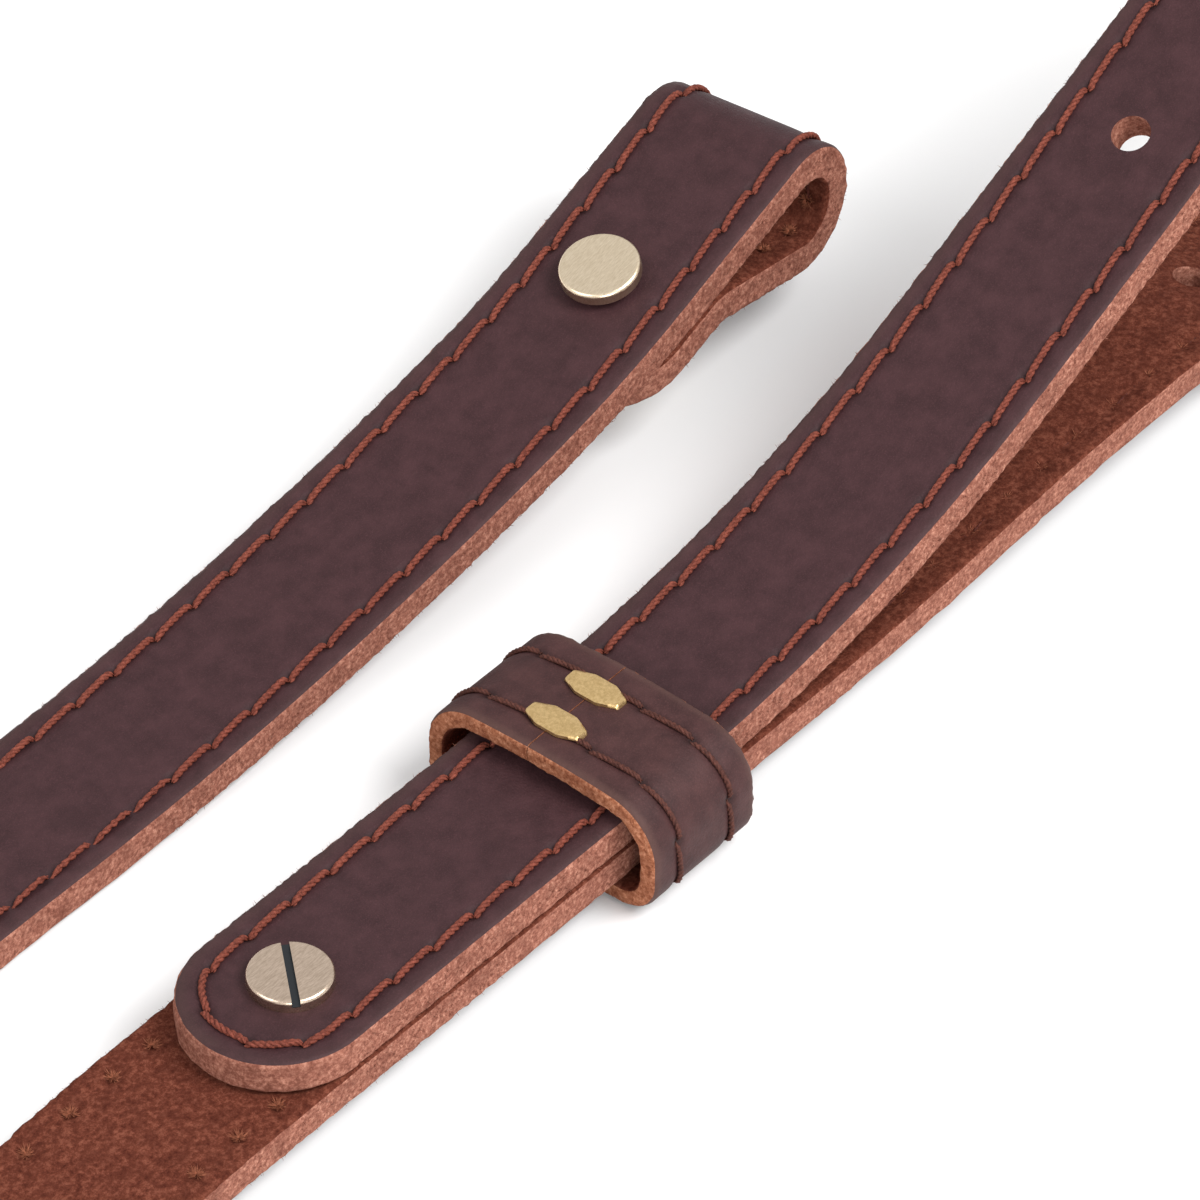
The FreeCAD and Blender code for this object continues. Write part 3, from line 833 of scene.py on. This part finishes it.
def keeper_path():
    line = keeper_points()
    middle_x = keeper_front + keeper_length / 2
    points = np.column_stack((np.full(len(line), middle_x), line))
    t = np.gradient(points, axis=0)
    t /= np.linalg.norm(t, axis=1)[:, None]
    w = np.tile((-1.0, 0.0, 0.0), (len(points), 1))
    n = np.cross(t, w)
    run = np.concatenate(((0,), np.cumsum(np.linalg.norm(np.diff(points, axis=0), axis=1))))
    return Path(run, points, t, w, n)


KEEPER = keeper_path()


class KeeperRow:
    """One of the keeper's two stitch rows."""

    def __init__(self, across):
        self.across = across

    def at(self, place):
        point, t, w, n = KEEPER.at(place)
        return point + w * self.across, t, w, n


def keeper_band(row_holes):
    half, deep = keeper_length / 2, keeper_leather / 2
    insets = [grain_round, 1.3, 2.1, 2.8, 3.2, 3.55, 3.9, 4.2, 4.5, 4.85, 5.3, 6.1, 7.2, half]
    ring = section(half, deep, insets, [flesh_round, 1.6, 2.9, 3.8, 4.2, 4.6, 6.0, half], 2)
    distances = np.linspace(0, KEEPER.length, 241)
    point, t, w, n = KEEPER.at(distances[:, None] * np.ones(len(ring)))
    out = w * ring[:, 2][None, :, None] + n * ring[:, 3][None, :, None]
    base = point + w * ring[:, 0][None, :, None] + n * ring[:, 1][None, :, None]
    flat = base.reshape(-1, 3)
    inset = half - abs(ring[:, 0])[None] * np.ones((len(distances), 1))
    grain_side = np.ones_like(inset, bool) & (ring[:, 3] > 0.9)[None]
    wall = np.ones_like(inset, bool) & (abs(ring[:, 2]) > 0.3)[None]
    depth = np.where(grain_side, -0.25 * np.exp(-((inset - keeper_row_inset) / 0.6) ** 2), 0).ravel()
    tree = kdtree.KDTree(len(row_holes))
    for index, hole in enumerate(row_holes):
        tree.insert(hole, index)
    tree.balance()
    hole_shade = np.zeros(len(depth))
    for index in np.flatnonzero((grain_side & (abs(inset - keeper_row_inset) < 1.3)).ravel()):
        # The same nearness to a stitch hole sinks the keeper's dimple and paints shade into it.
        hole_shade[index] = math.exp(-(tree.find(flat[index])[2] / 0.7) ** 2)
        depth[index] -= 0.3 * hole_shade[index]
    picked = np.flatnonzero(wall.ravel())
    depth[picked] += 0.09 * rough(flat[picked], 1.2, 5.0) + 0.07 * rough(flat[picked], 2.5, 9.0) - 0.04
    depth += 0.04 * rough(flat, 0.3, 2.0)
    verts = flat + out.reshape(-1, 3) * depth[:, None]
    quads, _, span = tube_faces(len(distances), len(ring))
    kinds = ring_materials(ring)[span].tolist()
    faces = quads.tolist()
    last = (len(distances) - 1) * len(ring)
    faces.append(list(range(len(ring))))
    faces.append([last + k for k in reversed(range(len(ring)))])
    kinds += [1, 1]
    band = new_object("keeper_leather_skin", verts, faces, (KEEPER_GRAIN, KEEPER_EDGE, FLESH), kinds)
    wear_and_sheen = (np.where(ring[:, 3] > 0.3, smooth(1.6, 0.3, inset), 0) * 0.6).ravel()
    add_attribute(band, "wear_and_sheen", wear_and_sheen)
    add_attribute(band, "hole_shade", hole_shade)
    welded(band, 0.0005)
    band.data.set_sharp_from_angle(angle=math.radians(50))
    return band


def keeper_stitches():
    """Both rows of twisted thread, outside and inside, and the holes that they go through."""
    outside, inside, holes = [], [], []
    half, deep = keeper_length / 2, keeper_leather / 2
    count = round(KEEPER.length / 6.7)
    for across in (half - keeper_row_inset, keeper_row_inset - half):
        row = KeeperRow(across)
        places = [KEEPER.length * (k + 0.25) / count for k in range(count)]
        pairs = list(zip([0.4] + places, places + [KEEPER.length - 0.4]))
        lines = stitch_lines(row, pairs, deep, 15, lift=0.06, sink=0.5, slant=0.3, overlap=0.0)
        outside.append(cords(*lines, plies=3, ply_radius=0.20, spread=0.17, lay=2.0, sides=6))
        lines = stitch_lines(row, pairs, -deep, 9, lift=0.0, sink=0.4, slant=-0.2, overlap=0.1)
        inside.append(cords(*lines, plies=2, ply_radius=0.16, spread=0.12, lay=1.8, sides=5))
        points, _, _, out = row.at(np.array(places))
        holes += list(points + out * deep)
    stitches = new_object("keeper_stitches", *joined(outside + inside), (KEEPER_THREAD,))
    return stitches, holes


def staple(number, x):
    """A long six-sided crown, hollow-backed and softened, whose ends turn down into the leather."""
    seat = upper_mid + half_leather + keeper_crown_gap + keeper_leather
    along = np.linspace(-1, 1, 41)
    verts, faces = [], []
    columns = 9
    for layer, thick in ((1, staple_thick), (0, 0.0)):
        for a in along:
            half = staple_width / 2 * 0.95 * min(1.0, 0.40 + 0.95 * (1 - abs(a)))
            drop = 1.3 * max(0.0, (abs(a) - 0.9) / 0.1) ** 1.6
            for k in range(columns):
                b = 2 * k / (columns - 1) - 1
                rounding = 0.16 * abs(b) ** 6 + 0.10 * abs(a) ** 8
                wave = 0.05 * noise.noise(Vector((x + b, a * 3, number)))
                z = seat + 0.05 + thick - (rounding - wave) * layer - drop
                verts.append((x + b * half * (1 - 0.03 * layer), seam_y + a * staple_length / 2, z))
    count = len(along) * columns
    for i in range(len(along) - 1):
        for k in range(columns - 1):
            a = i * columns + k
            faces.append([a, a + columns, a + columns + 1, a + 1])
            faces.append([count + a, count + a + 1, count + a + columns + 1, count + a + columns])
    rim = list(range(columns))
    rim += [i * columns + columns - 1 for i in range(1, len(along))]
    rim += [(len(along) - 1) * columns + k for k in reversed(range(columns - 1))]
    rim += [i * columns for i in reversed(range(1, len(along) - 1))]
    for a, b in zip(rim, rim[1:] + rim[:1]):
        faces.append([a, b, b + count, a + count])
    piece = new_object(f"staple_{number}_crown", verts, faces, (STAPLE,))
    welded(piece, 0.0005)
    piece.data.set_sharp_from_angle(angle=math.radians(60))
    return piece


# ---- the pieces ----

places = stitch_places(LOOP.length, stitch_pitch, first_stitch, 0.28)
hole_points = []
for surface in (half_leather, -half_leather):
    points, _, _, out = LOOP.at(np.array(places))
    hole_points += list(points + out * surface)

strap_pieces = {"strap_leather": [strap_leather(hole_points), edge_fibres()],
                "strap_needle_thread": [needle_stitches(places)],
                "strap_bobbin_thread": [bobbin_stitches(places), thread_ends(places)]}
for node, pieces in strap_pieces.items():
    for piece in pieces:
        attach(piece, "strap")
    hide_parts(node)

keeper_thread, keeper_holes = keeper_stitches()
band = keeper_band(keeper_holes)
thread_nodes = [f"keeper_{row}_{kind}_thread" for row in ("front", "rear") for kind in ("needle", "bobbin")]
keeper_pieces = [(band, "keeper_leather", ["keeper_band"]), (keeper_thread, "keeper_thread", thread_nodes)]
for number, x in enumerate(staple_x, 1):
    keeper_pieces.append((staple(number, x), "staple_brass", [f"keeper_staple_{number}"]))
for piece, slot, nodes in keeper_pieces:
    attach(piece, "keeper")
    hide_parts(*nodes)

for name, brass in (("tail_screw", TAIL_BRASS), ("tail_post", EYE_BRASS),
                    ("eye_screw", EYE_BRASS), ("eye_post", EYE_BRASS)):
    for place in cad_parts[name].material_slots:
        place.material = brass


# ---- floor, light and camera ----

def floor():
    material = bpy.data.materials.new("floor")
    material.use_nodes = True
    surface = material.node_tree.nodes["Principled BSDF"]
    surface.inputs["Base Color"].default_value = (0.86, 0.86, 0.86, 1.0)
    surface.inputs["Roughness"].default_value = 0.9
    mesh = bpy.data.meshes.new("floor")
    size, z = 6.0, -0.0002
    corners = [(-size, -size, z), (size, -size, z), (size, size, z), (-size, size, z)]
    mesh.from_pydata(corners, [], [(0, 1, 2, 3)])
    mesh.materials.append(material)
    piece = bpy.data.objects.new("floor", mesh)
    bpy.context.scene.collection.objects.link(piece)


view_azimuth, view_elevation, view_distance, view_focal = 49.93, 41.89, 1.0, 268.48
aim = Vector(ORIGIN) + Vector((0.07643, 0.0219, 0.0))
forward = Vector((sin(view_azimuth) * cos(view_elevation), cos(view_azimuth) * cos(view_elevation),
                  -sin(view_elevation)))
view_right = Vector((cos(view_azimuth), -sin(view_azimuth), 0.0))


def camera():
    data = bpy.data.cameras.new("camera")
    data.lens = view_focal
    data.sensor_width = 36.0
    item = bpy.data.objects.new("camera", data)
    item.location = aim - forward * view_distance
    item.rotation_euler = forward.to_track_quat("-Z", "Y").to_euler()
    bpy.context.scene.collection.objects.link(item)
    bpy.context.scene.camera = item


def area_light(name, direction, distance, size, power):
    data = bpy.data.lights.new(name, "AREA")
    data.shape = "DISK"
    data.size = size
    data.energy = power
    item = bpy.data.objects.new(name, data)
    item.location = aim + direction.normalized() * distance
    item.rotation_euler = (-direction).to_track_quat("-Z", "Y").to_euler()
    bpy.context.scene.collection.objects.link(item)


def studio():
    world = bpy.data.worlds.new("studio")
    world.use_nodes = True
    background = world.node_tree.nodes["Background"]
    background.inputs["Color"].default_value = (1.0, 1.0, 1.0, 1.0)
    background.inputs["Strength"].default_value = 0.72
    bpy.context.scene.world = world
    towards = -Vector((forward.x, forward.y, 0.0)).normalized()
    up = Vector((0.0, 0.0, 1.0))
    area_light("key", up * 1.3 + view_right * 0.9 + towards * 0.35, 1.6, 0.9, 24.0)
    area_light("fill", up * 0.9 - view_right * 1.0 + towards * 0.6, 1.8, 1.2, 9.0)
    area_light("front", up * 0.45 + towards * 1.2 + view_right * 0.2, 1.8, 0.9, 13.0)
    bpy.context.scene.view_settings.view_transform = "Standard"


floor()
camera()
studio()
